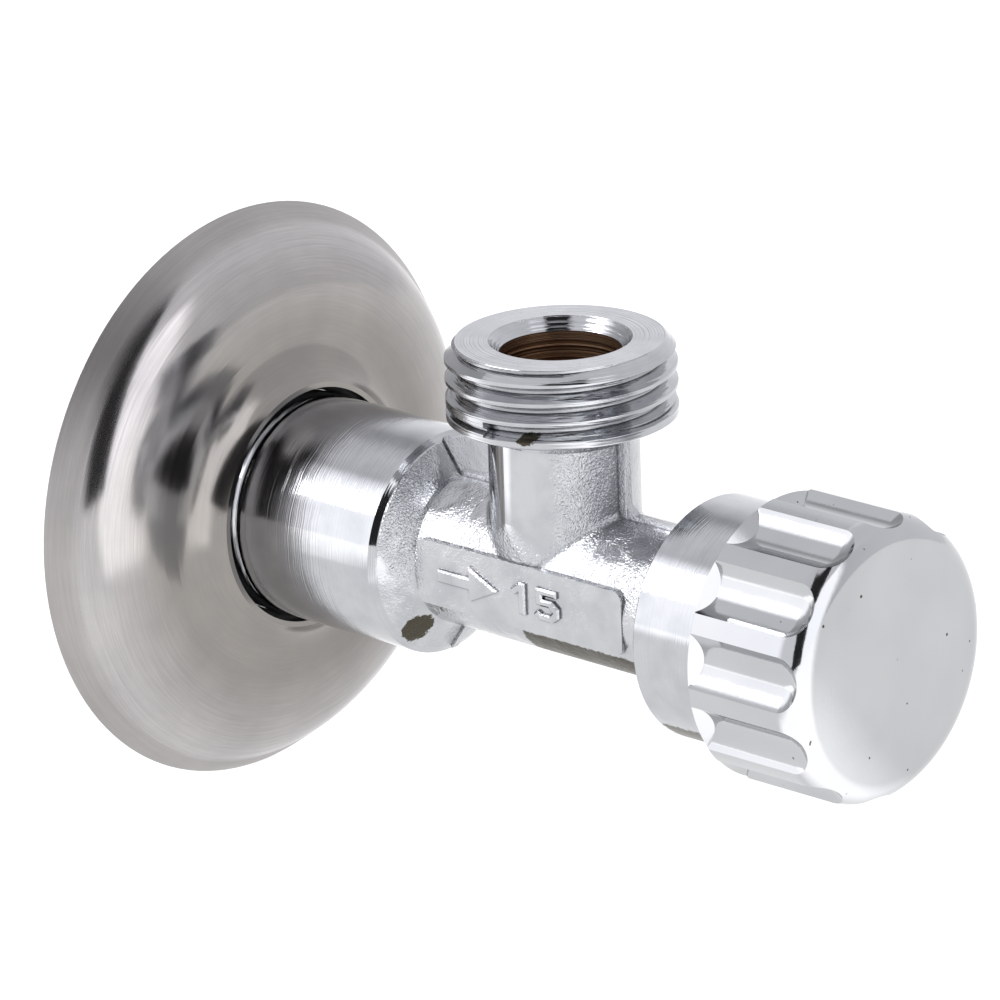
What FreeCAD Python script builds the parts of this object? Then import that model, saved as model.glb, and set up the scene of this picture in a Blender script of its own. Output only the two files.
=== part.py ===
import FreeCAD, Part
import math
import os
import Sketcher

# Angle stop valve. X runs along the valve from the wall to the handle, Z points up through the outlet.
# The origin is on the inlet axis in the plane of the wall. All sizes are millimetres.

SIZES = {
    # pipe threads, both G 1/2
    "thread_r": 10.4775,
    "thread_root_r": 9.33,
    "thread_pitch": 1.814,
    "groove_half": 0.72,
    "groove_flat": 0.12,
    "relief_r": 9.35,
    # inlet end, in the wall
    "inlet_end": 12.0,
    "inlet_lead": 1.1,
    "inlet_thread_stop": 0.6,
    "inlet_band_start": 1.8,
    "inlet_band_stop": 2.8,
    "inlet_neck_stop": 4.0,
    "inlet_neck_r": 9.8,
    "inlet_bore_r": 7.0,
    "inlet_bore_stop": 20.5,
    # body outside
    "rear_r": 10.45,
    "rear_edge": 0.5,
    "rear_stop": 25.3,
    "barrel_start": 27.2,
    "barrel_r": 7.05,
    "barrel_stop": 54.6,
    "collar_start": 57.2,
    "collar_r": 11.1,
    "collar_stop": 66.2,
    "collar_edge": 0.4,
    "cone_top_r": 7.3,
    "seam_half": 0.42,
    "seam_rise": 0.42,
    "seam_front": 0.85,
    "plate_start": 27.9,
    "plate_stop": 52.7,
    "plate_half": 3.05,
    "plate_y": 7.12,
    "plate_corner": 0.9,
    # outlet
    "outlet_x": 39.9,
    "outlet_top": 22.5,
    "outlet_face_r": 9.5,
    "outlet_lead": 1.05,
    "neck_r": 6.86,
    "neck_top": 15.05,
    "neck_blend_r": 0.7,
    "flange_under": 14.9,
    "flange_under_r": 8.7,
    "band_low": 15.5,
    "band_high": 16.15,
    "relief_high": 16.8,
    "outlet_relief_r": 9.95,
    "outlet_cut_z": 16.65,
    "outlet_mouth_r": 6.5,
    "outlet_mouth_depth": 1.15,
    "outlet_bore_r": 5.55,
    "outlet_bore_low": 8.2,
    "outlet_drill_r": 4.6,
    "outlet_drill_top": 7.3,
    # seat and chamber
    "orifice_start": 24.0,
    "orifice_r": 3.4,
    "seat_x": 31.0,
    "seat_out_r": 4.2,
    "seat_foot_r": 4.5,
    "chamber_floor": 30.2,
    "chamber_r": 5.4,
    "collar_bore_r": 9.0,
    "collar_bore_start": 58.6,
    # rosette
    "rosette_r": 27.1,
    "rosette_inner_r": 26.13,
    "rosette_rim": 0.05,
    "rosette_wall": 0.8,
    "rosette_skirt_x": 2.57,
    "rosette_skirt_r": 25.34,
    "rosette_skirt_in_x": 0.447,
    "rosette_skirt_in_r": 0.663,
    "rosette_bend": 6.0,
    "rosette_brow_x": 4.65,
    "rosette_brow_r": 22.9,
    "rosette_brow_in_x": 0.725,
    "rosette_brow_in_r": 0.338,
    "rosette_dome": 12.8,
    "rosette_crest_x": 5.85,
    "rosette_crest_r": 17.5,
    "rosette_flat_r": 15.9,
    "rosette_flare": 5.2,
    "rosette_lip_x": 8.1,
    "rosette_lip_r": 11.1,
    "ring_centre_r": 11.36,
    "ring_cord_r": 0.9,
    "ring_x": 5.7,
    # bonnet
    "bonnet_thread_r": 8.95,
    "bonnet_shoulder": 59.4,
    "skirt_r": 5.32,
    "skirt_end": 46.6,
    "hex_half": 8.5,
    "hex_stop": 69.4,
    "hex_edge_r": 9.6,
    "boss_r": 5.0,
    "boss_stop": 70.1,
    "guide_half": 3.8,
    "guide_stop": 60.2,
    "stem_seat": 62.4,
    "stem_bore_r": 3.05,
    "gasket_in_r": 5.6,
    "gasket_out_r": 8.8,
    # spindle
    "spindle_tip": 43.8,
    "drive_r": 2.5,
    "drive_root_r": 1.8,
    "drive_pitch": 1.5,
    "drive_stop": 59.4,
    "flange_start": 60.5,
    "flange_stop": 61.8,
    "flange_r": 3.7,
    "stem_r": 3.0,
    "stem_end": 76.2,
    "spline_start": 71.5,
    "spline_root_r": 2.66,
    "spline_half": 0.36,
    "spline_count": 18,
    "seal_groove_r": 2.14,
    "seal_rear_x": 64.0,
    "seal_front_x": 67.2,
    "seal_half": 0.6,
    "seal_ring_r": 2.6,
    "seal_cord_r": 0.44,
    "clip_x": 70.25,
    "clip_wide": 0.6,
    "clip_groove_r": 2.5,
    "clip_in_r": 2.55,
    "clip_out_r": 4.3,
    "clip_thick": 0.5,
    "clip_gap": 0.9,
    "slip_in_r": 3.1,
    "slip_thick": 0.5,
    # plug
    "plug_face": 32.0,
    "plug_head_stop": 36.0,
    "plug_head_r": 4.8,
    "plug_neck_r": 3.6,
    "plug_neck_start": 37.2,
    "plug_hex_start": 44.5,
    "plug_end": 52.0,
    "plug_hex_half": 3.73,
    "plug_bore_stop": 38.4,
    "plug_nut_start": 45.2,
    "plug_nut_r": 1.95,
    "plug_nut_root_r": 2.64,
    "cup_r": 4.35,
    "cup_depth": 1.2,
    "washer_r": 4.32,
    "washer_hole_r": 1.35,
    "disc_r": 2.6,
    "disc_thick": 0.4,
    "screw_r": 1.25,
    "screw_stop": 36.8,
    "screw_tap_stop": 37.4,
    "screw_head_r": 2.2,
    "screw_head": 1.1,
    "slot_half": 0.3,
    "slot_depth": 0.6,
    # handwheel, measured from its rear rim
    "wheel_x": 65.7,
    "wheel_r": 13.1,
    "wheel_side": 9.8,
    "wheel_round": 2.65,
    "wheel_edge": 12.6,
    "wheel_edge_r": 10.6,
    "wheel_front": 13.3,
    "wheel_gate_r": 0.9,
    "wheel_mouth_r": 11.4,
    "wheel_mouth_depth": 0.9,
    "wheel_cavity_r": 10.4,
    "wheel_cavity_stop": 10.6,
    "hub_r": 5.2,
    "hub_start": 6.0,
    "hub_bore_stop": 10.9,
    "hub_bore_r": 2.72,
    "hub_notch_r": 3.05,
    "notch_mouth": 0.49,
    "notch_floor": 0.3,
    "flute_count": 12,
    "flute_turn": 5.8,
    "flute_centre_r": 15.21,
    "flute_r": 3.43,
    "flute_ball_x": 10.25,
    "ramp_stop": 1.0,
    "ramp_r": 11.65,
    "grip_groove_r": 4.75,
    "grip_start": 6.9,
    "grip_wide": 1.8,
    "grip_out_r": 5.6,
    "grip_gap": 1.2,
}

doc = FreeCAD.newDocument("angle_stop_valve")
sheet = doc.addObject("Spreadsheet::Sheet", "Sizes")
for row, (alias, size) in enumerate(SIZES.items(), 1):
    sheet.set("A%d" % row, alias)
    sheet.set("B%d" % row, str(size))
    sheet.setAlias("B%d" % row, alias)
doc.recompute()


def number(word):
    """One word of a sum: a name from the sheet or a plain number."""
    return SIZES[word] if word in SIZES else float(word)


def amount(text):
    """The value of a sum such as 'seat_x - disc_thick'."""
    total = 0.0
    sign = 1
    for word in text.split():
        if word == "+":
            sign = 1
        elif word == "-":
            sign = -1
        else:
            total += sign * number(word)
            sign = 1
    return total


def formula(text):
    """The same sum as a FreeCAD expression on the sheet."""
    return " ".join("Sizes." + word if word in SIZES else word for word in text.split())


def new_body(label):
    body = doc.addObject("PartDesign::Body", label)
    body.Label = label
    return body


def plane_of(body, role):
    for feature in body.Origin.OriginFeatures:
        if feature.Role == role:
            return feature
    raise RuntimeError("no origin plane " + role)


def new_sketch(body, role, name, shift=None, turn=None):
    """A sketch on one of the body's own origin planes, shifted and turned in it by sheet sums."""
    sketch = body.newObject("Sketcher::SketchObject", name)
    sketch.AttachmentSupport = (plane_of(body, role), [""])
    sketch.MapMode = "FlatFace"
    for axis, text in (shift or {}).items():
        sketch.setExpression("AttachmentOffset.Base." + axis, formula(text))
    if turn:
        spin = FreeCAD.Rotation(FreeCAD.Vector(0, 0, 1), amount(turn))
        sketch.AttachmentOffset = FreeCAD.Placement(sketch.AttachmentOffset.Base, spin)
        sketch.setExpression("AttachmentOffset.Rotation.Angle", formula(turn))
    return sketch


def pin_point(sketch, geo, end, across, along):
    """Dimension one point of a sketch from its origin, with both sums bound to the sheet."""
    for kind, axis, text in (("DistanceX", -2, across), ("DistanceY", -1, along)):
        if abs(amount(text)) < 1e-9:
            sketch.addConstraint(Sketcher.Constraint("PointOnObject", geo, end, axis))
        else:
            at = sketch.addConstraint(Sketcher.Constraint(kind, -1, 1, geo, end, amount(text)))
            sketch.setExpression("Constraints[%d]" % at, formula(text))


def outline(sketch, corners, arcs=None):
    """A closed outline through corners given as pairs of sheet sums.

    arcs gives edge: (radius, side), or (None, side) for an arc centred on the sketch's X axis.
    """
    arcs = arcs or {}
    spots = [FreeCAD.Vector(amount(a), amount(b), 0) for a, b in corners]
    count = len(spots)
    first_end = []
    for i in range(count):
        start, stop = spots[i], spots[(i + 1) % count]
        if i not in arcs:
            sketch.addGeometry(Part.LineSegment(start, stop), False)
            first_end.append((1, 2))
            continue
        radius, side = arcs[i]
        chord = stop - start
        normal = FreeCAD.Vector(-chord.y, chord.x, 0).normalize() * side
        if radius:
            reach = amount(radius)
        else:
            on_axis = (stop.x**2 + stop.y**2 - start.x**2 - start.y**2) / (2 * (stop.x - start.x))
            reach = math.hypot(start.x - on_axis, start.y)
        centre = (start + stop) * 0.5 + normal * math.sqrt(reach**2 - (chord.Length / 2) ** 2)
        middle = centre - normal * reach
        curve = Part.Arc(start, middle, stop)
        sketch.addGeometry(curve, False)
        ends = sketch.getPoint(i, 1)
        first_end.append((1, 2) if (ends - start).Length < 1e-6 else (2, 1))
    for i in range(count):
        j = (i + 1) % count
        sketch.addConstraint(Sketcher.Constraint("Coincident", i, first_end[i][1], j, first_end[j][0]))
    for i in range(count):
        pin_point(sketch, i, first_end[i][0], corners[i][0], corners[i][1])
        if i in arcs and arcs[i][0]:
            at = sketch.addConstraint(Sketcher.Constraint("Radius", i, amount(arcs[i][0])))
            sketch.setExpression("Constraints[%d]" % at, formula(arcs[i][0]))
        elif i in arcs:
            sketch.addConstraint(Sketcher.Constraint("PointOnObject", i, 3, -1))


def round_hole(sketch, across, along, radius):
    """A circle with its centre and radius bound to the sheet."""
    centre = FreeCAD.Vector(amount(across), amount(along), 0)
    geo = sketch.addGeometry(Part.Circle(centre, FreeCAD.Vector(0, 0, 1), amount(radius)), False)
    pin_point(sketch, geo, 3, across, along)
    at = sketch.addConstraint(Sketcher.Constraint("Radius", geo, amount(radius)))
    sketch.setExpression("Constraints[%d]" % at, formula(radius))


def hexagon(sketch, half_across_flats):
    """A hexagon about the sketch origin with two flats parallel to the sketch's own X axis."""
    reach = amount(half_across_flats)
    corner = reach / math.cos(math.radians(30))
    spots = [
        FreeCAD.Vector(corner * math.cos(math.radians(60 * i)), corner * math.sin(math.radians(60 * i)), 0)
        for i in range(6)
    ]
    for i in range(6):
        sketch.addGeometry(Part.LineSegment(spots[i], spots[(i + 1) % 6]), False)
    circle = sketch.addGeometry(Part.Circle(FreeCAD.Vector(0, 0, 0), FreeCAD.Vector(0, 0, 1), reach), True)
    sketch.addConstraint(Sketcher.Constraint("Coincident", circle, 3, -1, 1))
    at = sketch.addConstraint(Sketcher.Constraint("Radius", circle, reach))
    sketch.setExpression("Constraints[%d]" % at, formula(half_across_flats))
    for i in range(6):
        sketch.addConstraint(Sketcher.Constraint("Coincident", i, 2, (i + 1) % 6, 1))
        sketch.addConstraint(Sketcher.Constraint("Tangent", i, circle))
        if i:
            sketch.addConstraint(Sketcher.Constraint("Equal", 0, i))
    sketch.addConstraint(Sketcher.Constraint("Horizontal", 1))


def volume_of(body):
    return body.Tip.Shape.Volume if body.Tip and hasattr(body.Tip, "Shape") else 0.0


def rebuild(body, feature, before, added):
    """Recompute, and stop if an addition or a cut left the body's volume as it was."""
    doc.recompute()
    change = feature.Shape.Volume - before
    if (change if added else -change) < 0.01:
        raise RuntimeError("%s changed nothing" % feature.Label)
    return feature


def turned(body, kind, name, sketch, axis="H_Axis"):
    """A full turn of a sketch about one of its own axes, added (Revolution) or cut (Groove)."""
    before = volume_of(body)
    feature = body.newObject("PartDesign::" + kind, name)
    feature.Profile = sketch
    feature.ReferenceAxis = (sketch, [axis])
    feature.Angle = 360
    sketch.Visibility = False
    return rebuild(body, feature, before, kind == "Revolution")


def turned_about_x(body, kind, name, corners, arcs=None):
    sketch = new_sketch(body, "XY_Plane", name + "_outline")
    outline(sketch, corners, arcs)
    return turned(body, kind, name, sketch)


def straight(body, kind, name, sketch, length, reverse=False, both=False):
    """A Pad or Pocket of a sketch by a length bound to the sheet."""
    before = volume_of(body)
    feature = body.newObject("PartDesign::" + kind, name)
    feature.Profile = sketch
    feature.setExpression("Length", formula(length))
    feature.Reversed = reverse
    feature.Midplane = both
    sketch.Visibility = False
    return rebuild(body, feature, before, kind == "Pad")


def around(body, name, feature, axis, count):
    """Repeat a cut or an addition evenly about an axis."""
    pattern = body.newObject("PartDesign::PolarPattern", name)
    pattern.Originals = [feature]
    pattern.Axis = axis
    pattern.Angle = 360
    pattern.setExpression("Occurrences", formula(count))
    body.Tip = pattern
    doc.recompute()
    return pattern


def thread_cut(body, name, sketch, axis, pitch, height, left=False, reverse=False):
    """Cut a helical groove along an axis of the sketch."""
    before = volume_of(body)
    feature = body.newObject("PartDesign::SubtractiveHelix", name)
    feature.Profile = sketch
    feature.ReferenceAxis = (sketch, [axis])
    feature.Mode = 0
    feature.setExpression("Pitch", formula(pitch))
    feature.setExpression("Height", formula(height))
    feature.LeftHanded = left
    feature.Reversed = reverse
    sketch.Visibility = False
    return rebuild(body, feature, before, False)


def origin_axis(body, role):
    return (plane_of(body, role), [""])


def place(body, along_x):
    """Move a finished sub-part to its station on the valve's axis."""
    body.setExpression("Placement.Base.x", formula(along_x))
    doc.recompute()


def ring(label, station, centre_r, cord_r):
    """An O-ring of round section, drawn about its own middle."""
    body = new_body(label)
    sketch = new_sketch(body, "XY_Plane", label + "_section")
    round_hole(sketch, "0", centre_r, cord_r)
    turned(body, "Revolution", label + "_turned", sketch)
    place(body, station)
    return body


def washer(label, station, inner_r, outer_r, thick):
    """A flat washer, drawn from its rear face."""
    body = new_body(label)
    turned_about_x(
        body,
        "Revolution",
        label + "_turned",
        [("0", inner_r), ("0", outer_r), (thick, outer_r), (thick, inner_r)],
    )
    place(body, station)
    return body


# ---------------------------------------------------------------- valve body
body = new_body("valve_body")
turned_about_x(
    body,
    "Revolution",
    "body_turned",
    [
        ("- inlet_end", "0"),
        ("- inlet_end", "thread_root_r"),
        ("inlet_lead - inlet_end", "thread_r"),
        ("inlet_thread_stop", "thread_r"),
        ("inlet_thread_stop + 0.35", "relief_r"),
        ("inlet_band_start - 0.35", "relief_r"),
        ("inlet_band_start", "thread_r"),
        ("inlet_band_stop", "thread_r"),
        ("inlet_band_stop", "inlet_neck_r"),
        ("inlet_neck_stop", "inlet_neck_r"),
        ("inlet_neck_stop + rear_edge", "rear_r"),
        ("rear_stop - rear_edge", "rear_r"),
        ("rear_stop", "rear_r - rear_edge"),
        ("barrel_start", "cone_top_r"),
        ("barrel_start + 0.3", "barrel_r"),
        ("barrel_stop", "barrel_r"),
        ("collar_start - 0.9", "barrel_r + 1.5"),
        ("collar_start", "collar_r - 0.5"),
        ("collar_start + 0.5", "collar_r"),
        ("collar_stop - collar_edge", "collar_r"),
        ("collar_stop", "collar_r - collar_edge"),
        ("collar_stop", "0"),
    ],
)

neck = new_sketch(body, "XY_Plane", "neck_circle")
round_hole(neck, "outlet_x", "0", "neck_r")
neck_pad = straight(body, "Pad", "neck_pad", neck, "neck_top")


def on_saddle(edge):
    """True for the edges where the neck meets the barrel."""
    middle = edge.valueAt((edge.FirstParameter + edge.LastParameter) / 2)
    from_neck = math.hypot(middle.x - amount("outlet_x"), middle.y)
    from_barrel = math.hypot(middle.y, middle.z)
    return (
        middle.z > 0.5
        and abs(from_neck - amount("neck_r")) < 0.02
        and abs(from_barrel - amount("barrel_r")) < 0.02
    )


saddle = ["Edge%d" % (i + 1) for i, edge in enumerate(neck_pad.Shape.Edges) if on_saddle(edge)]
blend = body.newObject("PartDesign::Fillet", "neck_blend")
blend.Base = (neck_pad, saddle)
blend.setExpression("Radius", formula("neck_blend_r"))
doc.recompute()

head = new_sketch(body, "XZ_Plane", "outlet_outline", {"x": "outlet_x"})
outline(
    head,
    [
        ("0", "neck_top - 1.2"),
        ("neck_r", "neck_top - 1.2"),
        ("neck_r + 0.5", "neck_top - 0.5"),
        ("flange_under_r", "flange_under"),
        ("thread_r - 0.3", "band_low - 0.2"),
        ("thread_r", "band_low"),
        ("thread_r", "band_high"),
        ("outlet_relief_r", "band_high + 0.25"),
        ("outlet_relief_r", "relief_high - 0.25"),
        ("thread_r", "relief_high"),
        ("thread_r", "outlet_top - outlet_lead"),
        ("outlet_face_r", "outlet_top"),
        ("0", "outlet_top"),
    ],
)
turned(body, "Revolution", "outlet_head", head, "V_Axis")

# the forging seam stands up where the two dies met, round the barrel, the cone and the neck
seam = new_sketch(body, "XZ_Plane", "seam_outline")
outline(
    seam,
    [
        ("rear_stop - 0.2", "0"),
        ("rear_stop - 0.2", "rear_r - 0.9"),
        ("rear_stop + 0.1", "rear_r - 0.25"),
        ("barrel_start + 0.2", "barrel_r + seam_rise"),
        ("outlet_x - neck_r - seam_rise - 0.5", "barrel_r + seam_rise"),
        ("outlet_x - neck_r - seam_rise", "barrel_r + seam_rise + 0.5"),
        ("outlet_x - neck_r - seam_rise", "neck_top - 0.6"),
        ("outlet_x + neck_r + seam_front", "neck_top - 0.6"),
        ("outlet_x + neck_r + seam_front", "barrel_r + seam_rise + 0.9"),
        ("outlet_x + neck_r + seam_front + 0.9", "barrel_r + seam_rise"),
        ("barrel_stop", "barrel_r + seam_rise"),
        ("collar_start", "barrel_r + seam_rise + 0.6"),
        ("collar_start", "- barrel_r - seam_rise - 0.6"),
        ("barrel_stop", "- barrel_r - seam_rise"),
        ("barrel_start + 0.2", "- barrel_r - seam_rise"),
        ("rear_stop + 0.1", "0.25 - rear_r"),
        ("rear_stop - 0.2", "0.9 - rear_r"),
    ],
)
straight(body, "Pad", "seam_pad", seam, "seam_half + seam_half", both=True)

# the flat name pad on the side of the barrel, left blank
plate = new_sketch(body, "XZ_Plane", "name_pad_outline")
outline(
    plate,
    [
        ("plate_start + plate_corner", "- plate_half"),
        ("plate_stop - plate_corner", "- plate_half"),
        ("plate_stop", "plate_corner - plate_half"),
        ("plate_stop", "plate_half - plate_corner"),
        ("plate_stop - plate_corner", "plate_half"),
        ("plate_start + plate_corner", "plate_half"),
        ("plate_start", "plate_half - plate_corner"),
        ("plate_start", "plate_corner - plate_half"),
    ],
    {1: ("plate_corner", 1), 3: ("plate_corner", 1), 5: ("plate_corner", 1), 7: ("plate_corner", 1)},
)
straight(body, "Pad", "name_pad", plate, "plate_y")

outlet_thread = new_sketch(body, "YZ_Plane", "outlet_groove", {"z": "outlet_x"})
outline(
    outlet_thread,
    [
        ("- thread_r - 0.2", "outlet_cut_z - groove_half - 0.12"),
        ("- thread_root_r", "outlet_cut_z - groove_flat"),
        ("- thread_root_r", "outlet_cut_z + groove_flat"),
        ("- thread_r - 0.2", "outlet_cut_z + groove_half + 0.12"),
    ],
)
thread_cut(body, "outlet_thread", outlet_thread, "V_Axis", "thread_pitch", "6.4")

inlet_thread = new_sketch(body, "XY_Plane", "inlet_groove")
outline(
    inlet_thread,
    [
        ("- inlet_end - groove_half - 1.32", "thread_r + 0.2"),
        ("- inlet_end - groove_flat - 1.2", "thread_root_r"),
        ("groove_flat - inlet_end - 1.2", "thread_root_r"),
        ("groove_half - inlet_end - 1.08", "thread_r + 0.2"),
    ],
)
thread_cut(body, "inlet_thread", inlet_thread, "H_Axis", "thread_pitch", "inlet_end + 2.3")

turned_about_x(
    body,
    "Groove",
    "waterway",
    [
        ("- inlet_end - 1", "0"),
        ("- inlet_end - 1", "inlet_bore_r + 0.6"),
        ("- inlet_end", "inlet_bore_r + 0.6"),
        ("0.6 - inlet_end", "inlet_bore_r"),
        ("inlet_bore_stop", "inlet_bore_r"),
        ("orifice_start", "orifice_r"),
        ("seat_x", "orifice_r"),
        ("seat_x", "seat_out_r"),
        ("chamber_floor", "seat_foot_r"),
        ("chamber_floor", "chamber_r"),
        ("collar_bore_start", "chamber_r"),
        ("collar_bore_start", "collar_bore_r"),
        ("collar_stop - 0.4", "collar_bore_r"),
        ("collar_stop", "collar_bore_r + 0.4"),
        ("collar_stop + 1", "collar_bore_r + 0.4"),
        ("collar_stop + 1", "0"),
    ],
)
# the outlet bore narrows to a drilled hole where it enters the chamber
outlet_bore = new_sketch(body, "XZ_Plane", "outlet_bore_outline", {"x": "outlet_x"})
outline(
    outlet_bore,
    [
        ("0", "0"),
        ("outlet_drill_r", "0"),
        ("outlet_drill_r", "outlet_drill_top"),
        ("outlet_bore_r", "outlet_bore_low"),
        ("outlet_bore_r", "outlet_top - outlet_mouth_depth"),
        ("outlet_mouth_r", "outlet_top"),
        ("outlet_mouth_r", "outlet_top + 1"),
        ("0", "outlet_top + 1"),
    ],
)
turned(body, "Groove", "outlet_bore", outlet_bore, "V_Axis")

# ---------------------------------------------------------------- rosette
rosette = new_body("wall_rosette")
turned_about_x(
    rosette,
    "Revolution",
    "rosette_turned",
    [
        ("0", "rosette_inner_r"),
        ("0", "rosette_r"),
        ("rosette_rim", "rosette_r"),
        ("rosette_skirt_x", "rosette_skirt_r"),
        ("rosette_brow_x", "rosette_brow_r"),
        ("rosette_crest_x", "rosette_crest_r"),
        ("rosette_crest_x", "rosette_flat_r"),
        ("rosette_lip_x", "rosette_lip_r + 0.5"),
        ("rosette_lip_x", "rosette_lip_r"),
        ("rosette_lip_x - 0.5", "rosette_lip_r"),
        ("rosette_crest_x - rosette_wall", "rosette_flat_r"),
        ("rosette_crest_x - rosette_wall", "rosette_crest_r"),
        ("rosette_brow_x - rosette_brow_in_x", "rosette_brow_r - rosette_brow_in_r"),
        ("rosette_skirt_x - rosette_skirt_in_x", "rosette_skirt_r - rosette_skirt_in_r"),
    ],
    {
        3: ("rosette_bend", -1),
        4: ("rosette_dome", -1),
        6: ("rosette_flare", 1),
        9: ("rosette_flare + rosette_wall", -1),
        11: ("rosette_dome - rosette_wall", 1),
        12: ("rosette_bend - rosette_wall", 1),
    },
)
ring("rosette_o_ring", "ring_x", "ring_centre_r", "ring_cord_r")

# ---------------------------------------------------------------- bonnet and its gasket
bonnet = new_body("bonnet")
turned_about_x(
    bonnet,
    "Revolution",
    "bonnet_turned",
    [
        ("skirt_end", "0"),
        ("skirt_end", "skirt_r - 0.3"),
        ("skirt_end + 0.3", "skirt_r"),
        ("bonnet_shoulder", "skirt_r"),
        ("bonnet_shoulder", "bonnet_thread_r - 0.4"),
        ("bonnet_shoulder + 0.4", "bonnet_thread_r"),
        ("collar_stop", "bonnet_thread_r"),
        ("collar_stop", "0"),
    ],
)
bonnet_hex = new_sketch(bonnet, "YZ_Plane", "bonnet_hexagon", {"z": "collar_stop"})
hexagon(bonnet_hex, "hex_half")
straight(bonnet, "Pad", "bonnet_head", bonnet_hex, "hex_stop - collar_stop")
turned_about_x(
    bonnet,
    "Revolution",
    "bonnet_boss",
    [("hex_stop - 1", "0"), ("hex_stop - 1", "boss_r"), ("boss_stop", "boss_r"), ("boss_stop", "0")],
)
turned_about_x(
    bonnet,
    "Groove",
    "bonnet_hex_edge",
    [
        ("hex_stop - 0.9", "hex_half + 1.9"),
        ("hex_stop", "hex_half - 0.1"),
        ("hex_stop + 0.5", "hex_half - 0.1"),
        ("hex_stop + 0.5", "hex_half + 1.9"),
    ],
)
turned_about_x(
    bonnet,
    "Groove",
    "bonnet_bore",
    [
        ("skirt_end - 1", "0"),
        ("skirt_end - 1", "guide_half"),
        ("stem_seat", "guide_half"),
        ("stem_seat", "stem_bore_r"),
        ("boss_stop + 1", "stem_bore_r"),
        ("boss_stop + 1", "0"),
    ],
)
guide = new_sketch(bonnet, "YZ_Plane", "guide_hexagon", {"z": "guide_stop"})
hexagon(guide, "guide_half")
straight(bonnet, "Pocket", "bonnet_guide", guide, "guide_stop - skirt_end + 1")
washer(
    "bonnet_gasket", "collar_bore_start", "gasket_in_r", "gasket_out_r", "bonnet_shoulder - collar_bore_start"
)

# ---------------------------------------------------------------- spindle and what rides on it
spindle = new_body("spindle")
turned_about_x(
    spindle,
    "Revolution",
    "spindle_turned",
    [
        ("spindle_tip", "0"),
        ("spindle_tip", "drive_root_r - 0.2"),
        ("spindle_tip + 0.8", "drive_r"),
        ("drive_stop", "drive_r"),
        ("drive_stop + 0.4", "drive_root_r"),
        ("flange_start", "drive_root_r"),
        ("flange_start", "flange_r"),
        ("flange_stop", "flange_r"),
        ("flange_stop", "stem_r"),
        ("seal_rear_x - seal_half", "stem_r"),
        ("seal_rear_x - seal_half", "seal_groove_r"),
        ("seal_rear_x + seal_half", "seal_groove_r"),
        ("seal_rear_x + seal_half", "stem_r"),
        ("seal_front_x - seal_half", "stem_r"),
        ("seal_front_x - seal_half", "seal_groove_r"),
        ("seal_front_x + seal_half", "seal_groove_r"),
        ("seal_front_x + seal_half", "stem_r"),
        ("clip_x", "stem_r"),
        ("clip_x", "clip_groove_r"),
        ("clip_x + clip_wide", "clip_groove_r"),
        ("clip_x + clip_wide", "stem_r"),
        ("stem_end - 0.4", "stem_r"),
        ("stem_end", "stem_r - 0.4"),
        ("stem_end", "0"),
    ],
)
drive = new_sketch(spindle, "XY_Plane", "drive_groove")
outline(
    drive,
    [
        ("spindle_tip - 0.74", "drive_r + 0.1"),
        ("spindle_tip - 0.5", "drive_root_r"),
        ("spindle_tip", "drive_root_r"),
        ("spindle_tip + 0.24", "drive_r + 0.1"),
    ],
)
thread_cut(
    spindle, "drive_thread", drive, "H_Axis", "drive_pitch", "drive_stop - spindle_tip + 0.4", left=True
)
spline = new_sketch(spindle, "YZ_Plane", "spline_notch", {"z": "spline_start"})
outline(
    spline,
    [("- spline_half", "stem_r + 0.1"), ("0", "spline_root_r"), ("spline_half", "stem_r + 0.1")],
)
notch = straight(spindle, "Pocket", "spline_cut", spline, "stem_end - spline_start + 1", reverse=True)
around(spindle, "spline_ring", notch, origin_axis(spindle, "X_Axis"), "spline_count")

washer("slip_washer", "flange_stop + 0.05", "slip_in_r", "flange_r", "slip_thick")
ring("spindle_o_ring_rear", "seal_rear_x", "seal_ring_r", "seal_cord_r")
ring("spindle_o_ring_front", "seal_front_x", "seal_ring_r", "seal_cord_r")


def open_ring(label, station, inner_r, outer_r, thick, gap):
    """A spring ring with one gap at its top, gap wide on each side of the middle."""
    ring_body = washer(label, station, inner_r, outer_r, thick)
    slot = new_sketch(ring_body, "XY_Plane", label + "_gap")
    outline(
        slot,
        [
            ("- 0.5", "- " + gap),
            (thick + " + 0.5", "- " + gap),
            (thick + " + 0.5", gap),
            ("- 0.5", gap),
        ],
    )
    straight(ring_body, "Pocket", label + "_cut", slot, outer_r + " + 1", reverse=True)
    return ring_body


open_ring("spindle_circlip", "clip_x + 0.05", "clip_in_r", "clip_out_r", "clip_thick", "clip_gap")

# ---------------------------------------------------------------- plug, seat washer and screw
plug = new_body("valve_plug")
turned_about_x(
    plug,
    "Revolution",
    "plug_turned",
    [
        ("plug_face", "0"),
        ("plug_face", "plug_head_r - 0.2"),
        ("plug_face + 0.2", "plug_head_r"),
        ("plug_head_stop - 0.3", "plug_head_r"),
        ("plug_neck_start", "plug_neck_r"),
        ("plug_hex_start", "plug_neck_r"),
        ("plug_hex_start", "0"),
    ],
)
plug_hex = new_sketch(plug, "YZ_Plane", "plug_hexagon", {"z": "plug_hex_start - 0.5"})
hexagon(plug_hex, "plug_hex_half")
straight(plug, "Pad", "plug_slide", plug_hex, "plug_end - plug_hex_start + 0.5")
turned_about_x(
    plug,
    "Groove",
    "plug_hex_edge",
    [
        ("plug_end - 0.5", "plug_hex_half + 0.8"),
        ("plug_end", "plug_hex_half - 0.1"),
        ("plug_end + 0.5", "plug_hex_half - 0.1"),
        ("plug_end + 0.5", "plug_hex_half + 0.8"),
    ],
)
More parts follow.
